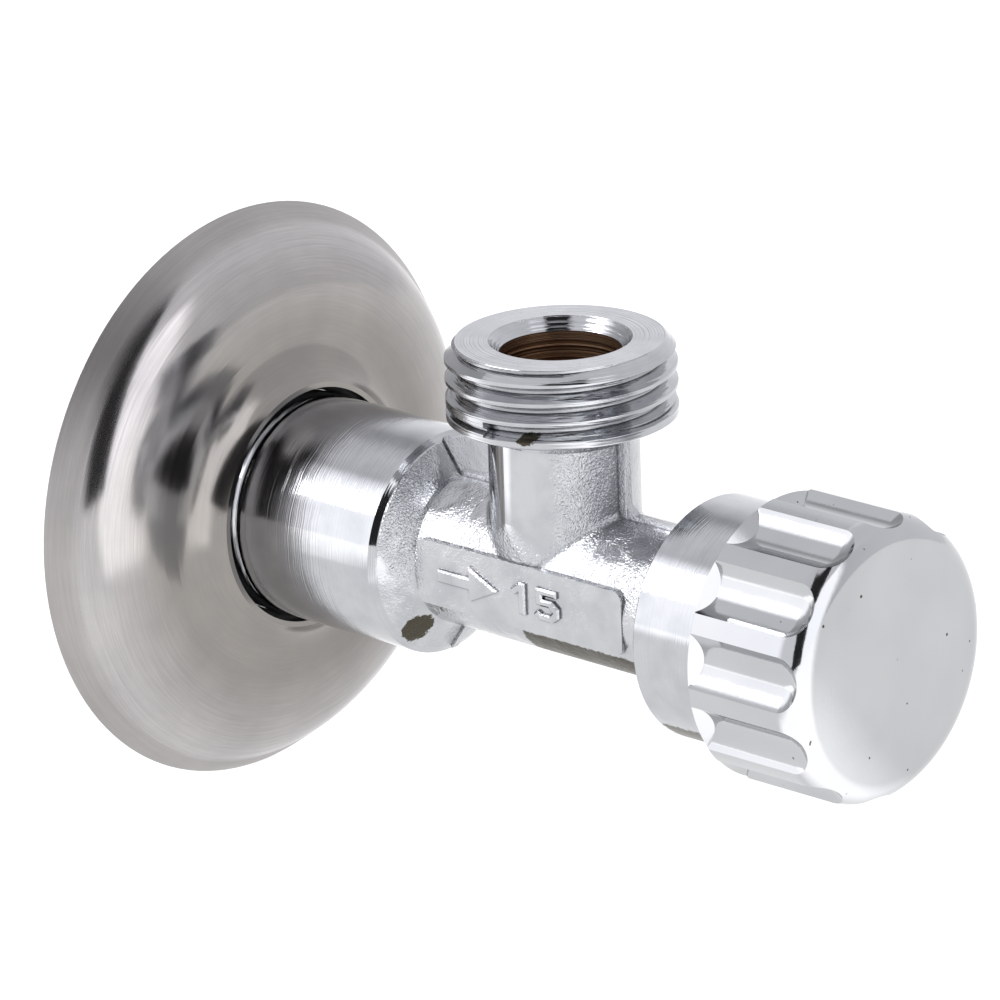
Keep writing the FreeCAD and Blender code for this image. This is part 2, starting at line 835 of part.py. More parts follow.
turned_about_x(
    plug,
    "Groove",
    "plug_bores",
    [
        ("plug_face - 1", "0"),
        ("plug_face - 1", "cup_r"),
        ("plug_face + cup_depth", "cup_r"),
        ("plug_face + cup_depth", "screw_r"),
        ("screw_tap_stop", "screw_r"),
        ("screw_tap_stop", "0"),
    ],
)
turned_about_x(
    plug,
    "Groove",
    "plug_nut_bore",
    [
        ("plug_bore_stop", "0"),
        ("plug_bore_stop", "drive_r + 0.2"),
        ("plug_nut_start", "drive_r + 0.2"),
        ("plug_nut_start + 0.3", "plug_nut_r"),
        ("plug_end - 0.5", "plug_nut_r"),
        ("plug_end", "plug_nut_r + 0.5"),
        ("plug_end + 1", "plug_nut_r + 0.5"),
        ("plug_end + 1", "0"),
    ],
)
# half a pitch along from the groove of the spindle's thread, so the two threads interlock
nut = new_sketch(plug, "XY_Plane", "nut_groove")
outline(
    nut,
    [
        ("spindle_tip - 0.01", "plug_nut_r - 0.1"),
        ("spindle_tip + 0.16", "plug_nut_root_r"),
        ("spindle_tip + 0.84", "plug_nut_root_r"),
        ("spindle_tip + 1.01", "plug_nut_r - 0.1"),
    ],
)
thread_cut(plug, "nut_thread", nut, "H_Axis", "drive_pitch", "plug_end - spindle_tip + 0.8", left=True)

washer("seat_washer", "seat_x", "washer_hole_r", "washer_r", "plug_face + cup_depth - seat_x")
washer("seat_screw_washer", "seat_x - disc_thick", "washer_hole_r", "disc_r", "disc_thick")
screw = new_body("seat_screw")
turned_about_x(
    screw,
    "Revolution",
    "screw_turned",
    [
        ("0", "0"),
        ("0", "screw_head_r - 0.5"),
        ("0.5", "screw_head_r"),
        ("screw_head", "screw_head_r"),
        ("screw_head", "screw_r"),
        ("screw_stop - seat_x + disc_thick + screw_head - 0.4", "screw_r"),
        ("screw_stop - seat_x + disc_thick + screw_head", "screw_r - 0.4"),
        ("screw_stop - seat_x + disc_thick + screw_head", "0"),
    ],
)
driver_slot = new_sketch(screw, "XY_Plane", "driver_slot")
outline(
    driver_slot,
    [
        ("- 0.5", "- slot_half"),
        ("slot_depth", "- slot_half"),
        ("slot_depth", "slot_half"),
        ("- 0.5", "slot_half"),
    ],
)
straight(screw, "Pocket", "driver_slot_cut", driver_slot, "screw_head_r + screw_head_r + 1", both=True)
place(screw, "seat_x - disc_thick - screw_head")

# ---------------------------------------------------------------- handwheel
wheel = new_body("handwheel")
turned_about_x(
    wheel,
    "Revolution",
    "wheel_turned",
    [
        ("0", "0"),
        ("0", "wheel_r - 0.15"),
        ("0.15", "wheel_r"),
        ("wheel_side", "wheel_r"),
        ("wheel_edge", "wheel_edge_r"),
        ("wheel_front", "wheel_gate_r"),
        ("wheel_front", "0"),
    ],
    {3: ("wheel_round", -1), 4: (None, -1)},
)
flute = new_sketch(wheel, "XY_Plane", "flute_outline", {"y": "flute_centre_r"})
outline(
    flute,
    [
        ("- 1", "0"),
        ("- 1", "- flute_r"),
        ("flute_ball_x", "- flute_r"),
        ("flute_ball_x + flute_r", "0"),
    ],
    {2: ("flute_r", 1)},
)
cut = turned(wheel, "Groove", "flute_cut", flute)
around(wheel, "flutes", cut, origin_axis(wheel, "X_Axis"), "flute_count")
turned_about_x(
    wheel,
    "Revolution",
    "flute_ramps",
    [
        ("0", "wheel_mouth_r - 0.5"),
        ("0", "wheel_r - 0.15"),
        ("ramp_stop", "ramp_r"),
        ("ramp_stop", "wheel_mouth_r - 0.5"),
    ],
)
turned_about_x(
    wheel,
    "Groove",
    "wheel_cavity",
    [
        ("- 1", "0"),
        ("- 1", "wheel_mouth_r"),
        ("wheel_mouth_depth", "wheel_mouth_r"),
        ("wheel_mouth_depth", "wheel_cavity_r"),
        ("wheel_cavity_stop - 0.6", "wheel_cavity_r"),
        ("wheel_cavity_stop", "wheel_cavity_r - 0.6"),
        ("wheel_cavity_stop", "hub_r"),
        ("grip_start + grip_wide", "hub_r"),
        ("grip_start + grip_wide", "grip_groove_r"),
        ("grip_start", "grip_groove_r"),
        ("grip_start", "hub_r"),
        ("hub_start", "hub_r"),
        ("hub_start", "0"),
    ],
)
turned_about_x(
    wheel,
    "Groove",
    "hub_bore",
    [
        ("hub_start - 1", "0"),
        ("hub_start - 1", "hub_bore_r + 0.5"),
        ("hub_start", "hub_bore_r + 0.5"),
        ("hub_start + 0.5", "hub_bore_r"),
        ("hub_bore_stop", "hub_bore_r"),
        ("hub_bore_stop", "0"),
    ],
)
# the notches stand half a tooth round from the spindle's grooves, so its teeth enter them
notches = new_sketch(wheel, "YZ_Plane", "hub_notch", {"z": "hub_bore_stop"}, "flute_turn + 10")
outline(
    notches,
    [
        ("- notch_mouth", "hub_bore_r - 0.1"),
        ("- notch_floor", "hub_notch_r"),
        ("notch_floor", "hub_notch_r"),
        ("notch_mouth", "hub_bore_r - 0.1"),
    ],
)
tooth = straight(wheel, "Pocket", "hub_notch_cut", notches, "hub_bore_stop - hub_start + 1")
around(wheel, "hub_notches", tooth, origin_axis(wheel, "X_Axis"), "spline_count")
wheel.Placement = FreeCAD.Placement(
    FreeCAD.Vector(amount("wheel_x"), 0, 0), FreeCAD.Rotation(FreeCAD.Vector(-1, 0, 0), amount("flute_turn"))
)
wheel.setExpression("Placement.Rotation.Angle", formula("flute_turn"))
place(wheel, "wheel_x")

open_ring(
    "handle_grip_ring",
    "wheel_x + grip_start + 0.1",
    "grip_groove_r + 0.05",
    "grip_out_r",
    "grip_wide - 0.2",
    "grip_gap",
)

# ---------------------------------------------------------------- check and export
doc.recompute()
names = [
    "valve_body",
    "wall_rosette",
    "rosette_o_ring",
    "bonnet",
    "bonnet_gasket",
    "spindle",
    "slip_washer",
    "spindle_o_ring_rear",
    "spindle_o_ring_front",
    "spindle_circlip",
    "valve_plug",
    "seat_washer",
    "seat_screw_washer",
    "seat_screw",
    "handwheel",
    "handle_grip_ring",
]
for item in doc.Objects:
    if "Invalid" in item.State or "Error" in item.State:
        raise RuntimeError("%s failed: %s" % (item.Label, item.State))
os.makedirs("parts", exist_ok=True)
for name in names:
    part = doc.getObjectsByLabel(name)[0]
    shape = part.Shape
    if shape.isNull() or not shape.isValid() or len(shape.Solids) != 1:
        raise RuntimeError("%s is not one valid solid" % name)
    shape.exportStep("parts/%s.step" % name)
    box = shape.BoundBox
    print("%-22s %9.1f mm3  x %6.2f..%6.2f" % (name, shape.Volume, box.XMin, box.XMax))
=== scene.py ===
"""Looks for the angle stop valve: materials, a generic size mark, a pale floor, light and the camera."""

import math

import bmesh
import bpy
from mathutils import Matrix, Vector


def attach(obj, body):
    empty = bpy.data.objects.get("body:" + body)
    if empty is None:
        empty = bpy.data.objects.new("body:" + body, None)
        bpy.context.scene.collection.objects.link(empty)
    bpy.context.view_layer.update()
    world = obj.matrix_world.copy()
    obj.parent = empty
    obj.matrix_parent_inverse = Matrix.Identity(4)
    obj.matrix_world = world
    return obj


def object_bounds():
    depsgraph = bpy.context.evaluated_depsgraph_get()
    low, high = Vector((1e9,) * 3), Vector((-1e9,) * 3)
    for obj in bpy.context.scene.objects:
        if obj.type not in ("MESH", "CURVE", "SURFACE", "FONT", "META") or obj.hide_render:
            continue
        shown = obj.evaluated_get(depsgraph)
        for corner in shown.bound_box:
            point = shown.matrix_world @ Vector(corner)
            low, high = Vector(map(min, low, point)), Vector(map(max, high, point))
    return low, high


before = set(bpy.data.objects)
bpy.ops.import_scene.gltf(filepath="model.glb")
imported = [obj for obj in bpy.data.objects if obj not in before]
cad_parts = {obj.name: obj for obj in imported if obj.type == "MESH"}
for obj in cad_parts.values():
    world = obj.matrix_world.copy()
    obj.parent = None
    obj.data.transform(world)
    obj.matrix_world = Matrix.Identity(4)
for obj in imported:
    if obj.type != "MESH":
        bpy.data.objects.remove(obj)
cad_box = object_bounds()

# stations of the valve body in millimetres, as in the CAD
OUTLET_X = 39.9
OUTLET_BORE_R = 5.62
OUTLET_TOP = 22.42
MOUTH_Z = 21.3
HEAD_Z = 14.7
NECK_START = 32.4
NECK_SIDE = 43.6
NECK_END = 47.6
REAR_STOP = 25.35
COLLAR_START = 57.3
COLLAR_BORE_START = 58.5
INLET_BORE_END = 24.5
PAD_START = 28.0
PAD_END = 53.5
PAD_EDGE_Y = -7.05
BARREL_BORE_R = 5.5
INLET_BORE_R = 7.2
COLLAR_BORE_R = 9.1
# the rosette's bend, where its lighter painted tone takes over, and its rim, as radii
BEND_START = 20.5
RIM_START = 25.5


# ---------------------------------------------------------------- node helpers
class Nodes:
    """A node tree with short calls for the nodes used here."""

    def __init__(self, tree):
        self.tree = tree
        tree.nodes.clear()

    def coordinates(self, kind, size):
        """Coordinates of one kind times a size, with x, y and z kept apart as well."""
        source = self.tree.nodes.new("ShaderNodeTexCoord")
        self.place = self.vector("MULTIPLY", source.outputs[kind], (size, size, size))
        split = self.tree.nodes.new("ShaderNodeSeparateXYZ")
        self.join(self.place, split.inputs[0])
        self.x, self.y, self.z = split.outputs

    def join(self, source, target):
        self.tree.links.new(source, target)

    def feed(self, socket, value):
        """Link a socket, or set it where the value is plain."""
        if isinstance(value, bpy.types.NodeSocket):
            self.join(value, socket)
        elif value is not None:
            socket.default_value = value

    def math(self, operation, a, b=None, c=None, clamp=False):
        node = self.tree.nodes.new("ShaderNodeMath")
        node.operation = operation
        node.use_clamp = clamp
        for socket, value in zip(node.inputs, (a, b, c)):
            self.feed(socket, value)
        return node.outputs[0]

    def vector(self, operation, a, b):
        node = self.tree.nodes.new("ShaderNodeVectorMath")
        node.operation = operation
        self.feed(node.inputs[0], a)
        self.feed(node.inputs[1], b)
        return node.outputs[0]

    def combine(self, x, y, z):
        node = self.tree.nodes.new("ShaderNodeCombineXYZ")
        for socket, value in zip(node.inputs, (x, y, z)):
            self.feed(socket, value)
        return node.outputs[0]

    def radius(self, a, b):
        return self.math("SQRT", self.math("ADD", self.math("MULTIPLY", a, a), self.math("MULTIPLY", b, b)))

    def above(self, value, edge, soft=0.1):
        """0 below the edge and 1 above it, with a soft step of the given width."""
        return self.math("DIVIDE", self.math("SUBTRACT", value, edge - soft / 2), soft, clamp=True)

    def below(self, value, edge, soft=0.1):
        return self.math("SUBTRACT", 1.0, self.above(value, edge, soft))

    def noise(self, vector, scale, detail=2.0, roughness=0.5):
        node = self.tree.nodes.new("ShaderNodeTexNoise")
        self.feed(node.inputs["Vector"], vector)
        node.inputs["Scale"].default_value = scale
        node.inputs["Detail"].default_value = detail
        node.inputs["Roughness"].default_value = roughness
        return node.outputs[0]

    def lines(self, along, scale, detail=2.0):
        """Noise that varies along one coordinate only, for turned marks."""
        node = self.tree.nodes.new("ShaderNodeTexNoise")
        node.noise_dimensions = "1D"
        self.feed(node.inputs["W"], along)
        node.inputs["Scale"].default_value = scale
        node.inputs["Detail"].default_value = detail
        return node.outputs[0]

    def spread(self, value, low, high, to_low=0.0, to_high=1.0):
        node = self.tree.nodes.new("ShaderNodeMapRange")
        for socket, number in zip(node.inputs, (value, low, high, to_low, to_high)):
            self.feed(socket, number)
        return node.outputs[0]

    def blend(self, factor, a, b):
        """Mix two colours."""
        node = self.tree.nodes.new("ShaderNodeMix")
        node.data_type = "RGBA"
        self.feed(node.inputs[0], factor)
        self.feed(node.inputs[6], (*a, 1) if isinstance(a, tuple) else a)
        self.feed(node.inputs[7], (*b, 1) if isinstance(b, tuple) else b)
        return node.outputs[2]

    def scale(self, factor, a, b):
        """Mix two numbers."""
        low = self.math("MULTIPLY", self.math("SUBTRACT", 1.0, factor), a)
        return self.math("ADD", low, self.math("MULTIPLY", factor, b))

    def between(self, value, low, high, soft=0.1):
        """1 between two edges and 0 outside them."""
        return self.math("MULTIPLY", self.above(value, low, soft), self.below(value, high, soft))


class Graph(Nodes):
    """A material with a Principled surface. Lengths are in millimetres."""

    def __init__(self, name):
        self.material = bpy.data.materials.new(name)
        self.material.use_nodes = True
        super().__init__(self.material.node_tree)
        self.out = self.tree.nodes.new("ShaderNodeOutputMaterial")
        self.shader = self.tree.nodes.new("ShaderNodeBsdfPrincipled")
        self.join(self.shader.outputs["BSDF"], self.out.inputs["Surface"])
        self.coordinates("Object", 1000)

    def bump(self, height, microns, normal=None):
        """Raise the surface by the height times a number of micrometres."""
        node = self.tree.nodes.new("ShaderNodeBump")
        node.inputs["Strength"].default_value = 1.0
        node.inputs["Distance"].default_value = microns * 1e-6
        self.feed(node.inputs["Height"], height)
        self.feed(node.inputs["Normal"], normal)
        return node.outputs[0]

    def creases(self, reach, depth):
        """Painted shade from ambient occlusion: 1 in the open, down to 1 - depth inside creases. The reach is
        in millimetres.
        """
        node = self.tree.nodes.new("ShaderNodeAmbientOcclusion")
        node.samples = 6
        node.inputs["Distance"].default_value = reach / 1000
        return self.spread(node.outputs["AO"], 0.35, 0.85, 1.0 - depth, 1.0)

    def finish(self, color, roughness, metallic, normal=None, **more):
        self.feed(self.shader.inputs["Base Color"], (*color, 1) if isinstance(color, tuple) else color)
        self.feed(self.shader.inputs["Roughness"], roughness)
        self.feed(self.shader.inputs["Metallic"], metallic)
        self.feed(self.shader.inputs["Normal"], normal)
        for name, value in more.items():
            self.feed(self.shader.inputs[name.replace("_", " ")], value)
        return self.material


# ---------------------------------------------------------------- materials
CHROME = (0.505, 0.51, 0.53)
CHROME_WORN = (0.42, 0.43, 0.45)
RAW_BRASS = (0.62, 0.43, 0.29)
RAW_BRASS_DARK = (0.13, 0.075, 0.045)
# near black for a few ragged spots and strips under the valve
UNDERSIDE_DARK_PATCH = (0.062, 0.055, 0.040)
# painted shade: the near black laid into creases, where light is shut out
CREASE_SHADE = (0.03, 0.03, 0.035)
# painted light and shade on the rosette: a darker copy of the steel for the flat face and a lighter copy for
# the bend
FACE_STEEL_SHADED = (0.300, 0.283, 0.265)
FACE_STEEL_SHADED_WORN = (0.255, 0.242, 0.230)
BEND_STEEL_LIT = (0.500, 0.482, 0.480)
BEND_STEEL_LIT_WORN = (0.430, 0.415, 0.418)
STEEL_GRAIN = (0.22, 0.205, 0.20)
STEEL_RIM = (0.23, 0.215, 0.205)
PLATED_PLASTIC = (0.495, 0.50, 0.512)
PLATED_PLASTIC_WORN = (0.45, 0.46, 0.475)
SPECK = (0.10, 0.09, 0.08)
# depth of the cast skin and of the lathe marks in micrometres
CAST_SKIN = 130.0
FINE_LATHE = 7.0
COARSE_LATHE = 46.0


def underside_dark_patches(g):
    """1 on a few dark spots and strips under the valve, with ragged edges."""
    below = g.math("MULTIPLY", g.math("ARCTAN2", g.z, g.math("MULTIPLY", g.y, -1.0)), 180 / math.pi)
    ragged = g.math("MULTIPLY", g.math("SUBTRACT", g.noise(g.place, 1.9, 4.0, 0.7), 0.5), 1.7)
    across = g.math("MULTIPLY", g.math("SUBTRACT", g.x, 26.3), 1.5)
    along = g.math("MULTIPLY", g.math("ADD", below, 48.5), 0.15)
    spot = g.below(g.math("ADD", g.radius(across, along), ragged), 1.45, 0.12)
    edge = g.math("ADD", below, g.math("MULTIPLY", ragged, 5.0))
    lengthwise = g.math("ADD", g.x, ragged)
    strip = g.math("MULTIPLY", g.between(edge, -84.0, -31.0, 1.5), g.between(lengthwise, 39.5, 56.0))
    heel = g.math("MULTIPLY", g.between(edge, -80.0, -44.0, 1.5), g.between(lengthwise, 58.0, 64.2))
    nick = g.radius(g.math("SUBTRACT", g.x, 44.1), g.math("MULTIPLY", g.math("SUBTRACT", g.z, 16.2), 1.6))
    nick = g.math("MULTIPLY", g.below(g.math("ADD", nick, ragged), 0.75, 0.12), g.below(g.y, 0.0))
    return g.math("MAXIMUM", g.math("MAXIMUM", spot, nick), g.math("MAXIMUM", strip, heel))


def body_chrome():
    """Chromed forging: turned marks where machined, a cast skin elsewhere, raw brass in the waterway."""
    g = Graph("chromed_forging")
    from_axis = g.radius(g.y, g.z)
    from_outlet = g.radius(g.math("SUBTRACT", g.x, OUTLET_X), g.y)
    head = g.above(g.z, HEAD_Z)
    rear = g.below(g.x, REAR_STOP)
    collar = g.above(g.x, COLLAR_START)
    machined = g.math("MAXIMUM", head, g.math("MAXIMUM", rear, collar))
    forged = g.math("SUBTRACT", 1.0, machined)

    in_outlet = g.math("MULTIPLY", g.below(from_outlet, OUTLET_BORE_R, 0.04), g.below(g.z, MOUTH_Z, 0.05))
    in_outlet = g.math("MULTIPLY", in_outlet, g.above(g.z, 0.0))
    in_barrel = g.below(from_axis, BARREL_BORE_R, 0.04)
    in_inlet = g.math("MULTIPLY", g.below(from_axis, INLET_BORE_R, 0.04), g.below(g.x, INLET_BORE_END))
    in_collar = g.math("MULTIPLY", g.below(from_axis, COLLAR_BORE_R, 0.04), g.above(g.x, COLLAR_BORE_START))
    raw = g.math("MAXIMUM", g.math("MAXIMUM", in_outlet, in_barrel), g.math("MAXIMUM", in_inlet, in_collar))

    skin = g.noise(g.place, 1.3, 2.0, 0.5)
    pits = g.noise(g.place, 4.6, 2.0, 0.6)
    patches = g.spread(g.noise(g.place, 0.25, 2.0), 0.38, 0.60, 0.22, 1.15)
    on_neck = g.math("MULTIPLY", g.above(g.z, 5.5, 2.0), g.between(g.x, NECK_START, NECK_END))
    patches = g.scale(on_neck, patches, g.above(g.x, NECK_SIDE, 1.8))
    on_pad = g.math("MULTIPLY", g.below(g.y, PAD_EDGE_Y, 0.08), g.between(g.x, PAD_START, PAD_END, 2.0))
    patches = g.math("MULTIPLY", patches, g.scale(on_pad, 1.0, 0.3))
    cast = g.math("ADD", g.math("MULTIPLY", skin, 0.7), g.math("MULTIPLY", pits, 0.9))
    cast = g.math("MULTIPLY", cast, g.math("MULTIPLY", forged, patches))
    along = g.scale(head, g.x, g.scale(g.above(g.z, OUTLET_TOP, 0.02), g.z, from_outlet))
    stir = g.math("MULTIPLY", g.noise(g.place, 0.5, 1.0), 0.35)
    fine = g.lines(g.math("ADD", along, stir), 6.0, 3.0)
    coarse = g.lines(along, 4.5, 3.0)
    lathe = g.math("MAXIMUM", head, raw)
    turning = g.scale(lathe, g.math("MULTIPLY", fine, FINE_LATHE), g.math("MULTIPLY", coarse, COARSE_LATHE))
    turning = g.math("MULTIPLY", turning, g.math("MAXIMUM", machined, raw))
    normal = g.bump(cast, CAST_SKIN)
    normal = g.bump(turning, 1.0, normal)

    tone = g.noise(g.place, 0.35, 3.0)
    color = g.blend(g.spread(tone, 0.35, 0.7), CHROME, CHROME_WORN)
    brushed = g.math("MULTIPLY", g.spread(g.lines(along, 9.0, 2.0), 0.35, 0.7, 0.0, 0.5), machined)
    color = g.blend(brushed, color, CHROME_WORN)
    brass = g.blend(g.spread(g.lines(along, 3.6, 3.0), 0.38, 0.62), RAW_BRASS_DARK, RAW_BRASS)
    color = g.blend(raw, color, brass)
    underside_dark = underside_dark_patches(g)
    # the colour turns near black and a little rougher on a few spots and strips under the valve
    color = g.blend(underside_dark, color, UNDERSIDE_DARK_PATCH)
    # painted shade: the colour darkens to near black inside creases within half a millimetre
    color = g.blend(g.creases(0.5, 0.85), CREASE_SHADE, color)
    rough = g.spread(g.noise(g.place, 0.8, 4.0, 0.65), 0.3, 0.75, 0.035, 0.10)
    rough = g.scale(raw, rough, 0.34)
    rough = g.scale(underside_dark, rough, 0.30)
    return g.finish(color, rough, 1.0, normal)


def rosette_steel():
    """Pressed stainless steel with a fine circular grain and handling scratches."""
    g = Graph("satin_stainless")
    from_axis = g.radius(g.y, g.z)
    round_y = g.math("MULTIPLY", g.math("DIVIDE", g.y, from_axis), 3.0)
    round_z = g.math("MULTIPLY", g.math("DIVIDE", g.z, from_axis), 3.0)
    grain = g.noise(g.combine(g.math("MULTIPLY", from_axis, 7.0), round_y, round_z), 1.0, 4.0, 0.7)
    drawn_out = g.combine(g.math("MULTIPLY", g.y, 0.5), g.math("MULTIPLY", g.z, 5.0), g.x)
    scuffs = g.noise(drawn_out, 1.2, 4.0, 0.7)
    clouds = g.noise(g.place, 0.09, 3.0, 0.6)
    height = g.math("ADD", grain, g.math("MULTIPLY", scuffs, 0.6))
    normal = g.bump(height, 1.6)
    # painted light and shade: the flat face gets the darker copy of the steel and the bend the lighter one
    face = g.blend(g.spread(clouds, 0.35, 0.65), FACE_STEEL_SHADED, FACE_STEEL_SHADED_WORN)
    bend = g.blend(g.spread(clouds, 0.35, 0.65), BEND_STEEL_LIT, BEND_STEEL_LIT_WORN)
    color = g.blend(g.above(from_axis, BEND_START, 7.0), face, bend)
    color = g.blend(g.spread(grain, 0.35, 0.75, 0.0, 0.35), color, STEEL_GRAIN)
    on_rim = g.above(from_axis, RIM_START, 0.8)
    color = g.blend(g.math("MULTIPLY", on_rim, 0.35), color, STEEL_RIM)
    rough = g.spread(g.math("ADD", grain, clouds), 0.7, 1.3, 0.11, 0.20)
    rough = g.scale(on_rim, rough, 0.42)
    return g.finish(color, rough, 1.0, normal, Anisotropic=0.35)


def handle_chrome():
    """Bright plating on moulded plastic: very smooth, with a faint ripple and a few specks."""
    g = Graph("chromed_plastic")
    ripple = g.noise(g.place, 0.22, 1.0)
    normal = g.bump(ripple, 14.0)
    grain = g.noise(g.place, 2.6, 2.0, 0.6)
    normal = g.bump(grain, 4.0, normal)
    specks = g.spread(g.noise(g.place, 1.7, 0.0), 0.855, 0.865)
    tone = g.noise(g.place, 0.12, 2.0)
    color = g.blend(g.spread(tone, 0.3, 0.7), PLATED_PLASTIC, PLATED_PLASTIC_WORN)
    color = g.blend(specks, color, SPECK)
    rough = g.spread(g.noise(g.place, 0.5, 3.0), 0.3, 0.7, 0.07, 0.13)
    return g.finish(color, rough, 1.0, normal)


def turned_metal(name, light, dark, roughness):
    """Machined metal with marks across the valve's axis and a little tarnish."""
    g = Graph(name)
    marks = g.lines(g.x, 7.0, 3.0)
    normal = g.bump(marks, 2.0)
    color = g.blend(g.spread(g.noise(g.place, 0.5, 4.0, 0.6), 0.35, 0.7), light, dark)
    rough = g.spread(marks, 0.3, 0.7, roughness, roughness + 0.12)
    return g.finish(color, rough, 1.0, normal)


def moulded(name, light, dark, roughness, grain):
    """Rubber, fibre or plain plastic with a fine skin."""
    g = Graph(name)
    skin = g.noise(g.place, 4.0, 3.0, 0.6)
    normal = g.bump(skin, grain)
    color = g.blend(g.spread(g.noise(g.place, 1.0, 3.0), 0.3, 0.7), light, dark)
    rough = g.spread(skin, 0.3, 0.7, roughness, roughness + 0.15)
    return g.finish(color, rough, 0.0, normal)


chrome = body_chrome()
brass = turned_metal("turned_brass", (0.62, 0.44, 0.18), (0.45, 0.30, 0.12), 0.22)
steel = turned_metal("bright_steel", (0.58, 0.57, 0.56), (0.42, 0.41, 0.41), 0.18)
rubber = moulded("black_rubber", (0.022, 0.022, 0.023), (0.038, 0.037, 0.036), 0.55, 5.0)
MATERIALS = {
    "valve_body": chrome,
    "wall_rosette": rosette_steel(),
    "handwheel": handle_chrome(),
    "bonnet": brass,
    "spindle": brass,
    "valve_plug": brass,
    "seat_screw_washer": brass,
    "seat_screw": steel,
    "spindle_circlip": steel,
    "handle_grip_ring": steel,
    "rosette_o_ring": rubber,
    "spindle_o_ring_rear": rubber,
    "spindle_o_ring_front": rubber,
    "seat_washer": rubber,
    "bonnet_gasket": moulded("red_fibre", (0.36, 0.07, 0.04), (0.24, 0.05, 0.03), 0.7, 9.0),
    "slip_washer": moulded("white_plastic", (0.78, 0.77, 0.73), (0.70, 0.69, 0.66), 0.4, 3.0),
}
for name, material in MATERIALS.items():
    node = bpy.data.objects[name]
    node.data.materials.clear()
    node.data.materials.append(material)


# ---------------------------------------------------------------- raised mark on the name pad
# a flow arrow and the nominal size, as outlines of x and z in millimetres, seen from the front of the pad
ARROW = ((30.6, -0.6), (34.4, -0.6), (34.4, -1.65), (37.9, 0), (34.4, 1.65), (34.4, 0.6), (30.6, 0.6))
ONE = ((40.5, -1.5), (41.3, -1.5), (41.3, 1.5), (40.6, 1.5), (39.5, 0.75), (39.85, 0.2), (40.5, 0.6))
FIVE = (
    (42.6, 1.5),
    (42.6, -0.15),
    (44.2, -0.15),
    (44.6, -0.5),
    (44.3, -0.85),
    (43.3, -0.9),
    (42.8, -0.6),
    (42.3, -1.05),
    (43.1, -1.55),
    (44.5, -1.55),
    (45.4, -0.95),
    (45.4, -0.05),
    (44.6, 0.5),
    (43.4, 0.5),
    (43.4, 0.85),
    (45.1, 0.85),
    (45.1, 1.5),
)
PAD_Y = -7.12
MARK_RISE = 0.36
MARK_DRAFT = 0.17


def inset(points, depth):
    """The outline moved inwards by a depth, corner by corner."""
    turn = sum(a[0] * b[1] - b[0] * a[1] for a, b in zip(points, points[1:] + points[:1]))
    side = math.copysign(1.0, turn)
    moved = []
    for i, (x, z) in enumerate(points):
        before = (Vector((x, z)) - Vector(points[i - 1])).normalized()
        after = (Vector(points[(i + 1) % len(points)]) - Vector((x, z))).normalized()
        inward = Vector((-before.y - after.y, before.x + after.x)) * side
        reach = depth / max(0.35, inward.length / 2)
        moved.append(Vector((x, z)) + inward.normalized() * reach)
    return moved


def ring_of(mesh, points, y):
    """Vertices of a mesh on an outline of x and z, all at one y, given in millimetres."""
    return [mesh.verts.new((x / 1000, y / 1000, z / 1000)) for x, z in points]


def raised_mark(name, outlines, material):
    """Flat-topped raised shapes on the name pad, with sides that lean inwards near the top."""
    mesh = bmesh.new()
    for points in outlines:
        foot = ring_of(mesh, points, PAD_Y + 0.05)
        waist = ring_of(mesh, points, PAD_Y - MARK_RISE * 0.6)
        crown = ring_of(mesh, inset(points, MARK_DRAFT), PAD_Y - MARK_RISE)
        count = len(points)
        for low, high in ((foot, waist), (waist, crown)):
            for i in range(count):
                j = (i + 1) % count
                mesh.faces.new((low[i], low[j], high[j], high[i]))
        mesh.faces.new(foot)
        mesh.faces.new(crown)
    mesh.normal_update()
    bmesh.ops.triangulate(mesh, faces=[face for face in mesh.faces if len(face.verts) > 4])
    bmesh.ops.recalc_face_normals(mesh, faces=mesh.faces[:])
    data = bpy.data.meshes.new(name)
    mesh.to_mesh(data)
    mesh.free()
    data.materials.append(material)
    piece = bpy.data.objects.new(name, data)
    bpy.context.scene.collection.objects.link(piece)
    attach(piece, "valve")


raised_mark("size_mark", (ARROW, ONE, FIVE), chrome)


# ---------------------------------------------------------------- floor, light and camera
# brightness round the room (degrees from -Y towards +X) and overhead (degrees above the horizon)
WALLS = (
    (-180, 1.0),
    (-137, 1.15),
    (-124, 0.55),
    (-96, 0.5),
    (-68, 0.8),
    (-58, 2.0),
    (-30, 1.8),
    (-12, 1.15),
    (30, 1.15),
    (64, 2.0),
    (98, 2.0),
    (108, 0.85),
    (135, 0.95),
    (180, 1.0),
)
CEILING = ((-90, 1.0), (40, 1.0), (62, 0.95), (90, 0.85))
BOX_TOP = 46.0
# the dark gap between the boxes: the direction it faces, its half width as a sine, its top and its brightness
GAP_FACES = 47.5
GAP_HALF = 0.27
GAP_TOP = 73.0
GAP_LEVEL = 0.03
# pools of light painted on the floor as glow where the boxes would light it, well outside the picture: sector
# in degrees and distance in millimetres
PAINTED_POOLS = ((-62.0, -30.0), (54.0, 100.0))
PAINTED_POOL_START = 76.0
FLOOR_GLOW = 0.92
PAINTED_POOL_GLOW = 1.8
FLOOR_SIDE = 3.0
SENSOR_WIDTH = 36.0


